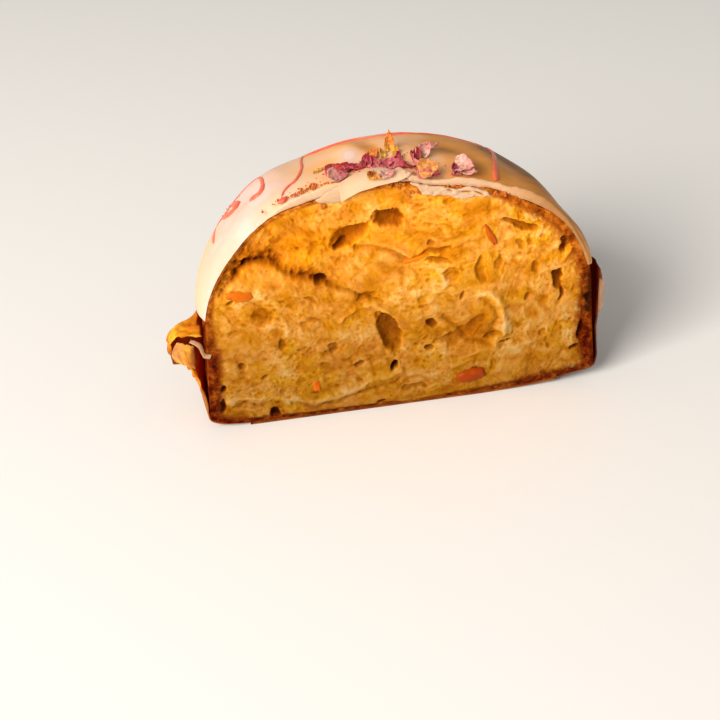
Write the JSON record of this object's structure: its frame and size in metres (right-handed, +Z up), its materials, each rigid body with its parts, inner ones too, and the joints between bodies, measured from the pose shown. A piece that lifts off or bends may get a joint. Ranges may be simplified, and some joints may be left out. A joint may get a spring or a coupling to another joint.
{
  "type": "half glazed panettone in paper case",
  "caption": "Half of a low domed sweet loaf cut upright, with torn airy crumb, candied peel, glossy icing with drizzle and dried petals, in the cut half of its paper baking case.",
  "frame": {"origin": "on the axis of the round loaf, on the underside of the paper case", "axes": "+Z up along the loaf's axis; the cut face lies in a plane 15 mm in front of the axis and looks towards -Y; +X to the right as the cut face is seen"},
  "size_m": [0.2152, 0.1168, 0.1375],
  "materials": {
    "crumb": "soft golden crumb, browned to dark red-brown at the crust",
    "icing": "satin cream icing with a coral drizzle fused on",
    "brown_paper": "butter-stained brown baking paper",
    "candied_peel": "wet-looking orange",
    "petal_dark": "dry, dark red to magenta",
    "petal_pale": "dry, pale pink",
    "petal_orange": "dry, orange to yellow"
  },
  "bodies": {
    "root": {"loaf": "crumb", "icing": "icing", "icing_flake_slumped": "icing", "icing_flake_stuck": "icing", "paper_case": "brown_paper", "candied_peel_1": "candied_peel", "candied_peel_2": "candied_peel", "candied_peel_3": "candied_peel", "candied_peel_4": "candied_peel", "candied_peel_5": "candied_peel", "candied_peel_6": "candied_peel", "petal_crimson": "petal_dark", "petal_magenta": "petal_dark", "petal_mauve": "petal_dark", "petal_claret": "petal_dark", "petal_blush_left": "petal_pale", "petal_pink_front": "petal_pale", "petal_rose_back": "petal_pale", "petal_blush_right": "petal_pale", "petal_amber": "petal_orange", "petal_gold": "petal_orange", "petal_orange_front": "petal_orange", "petal_orange_upright": "petal_orange"}
  },
  "joints": []
}
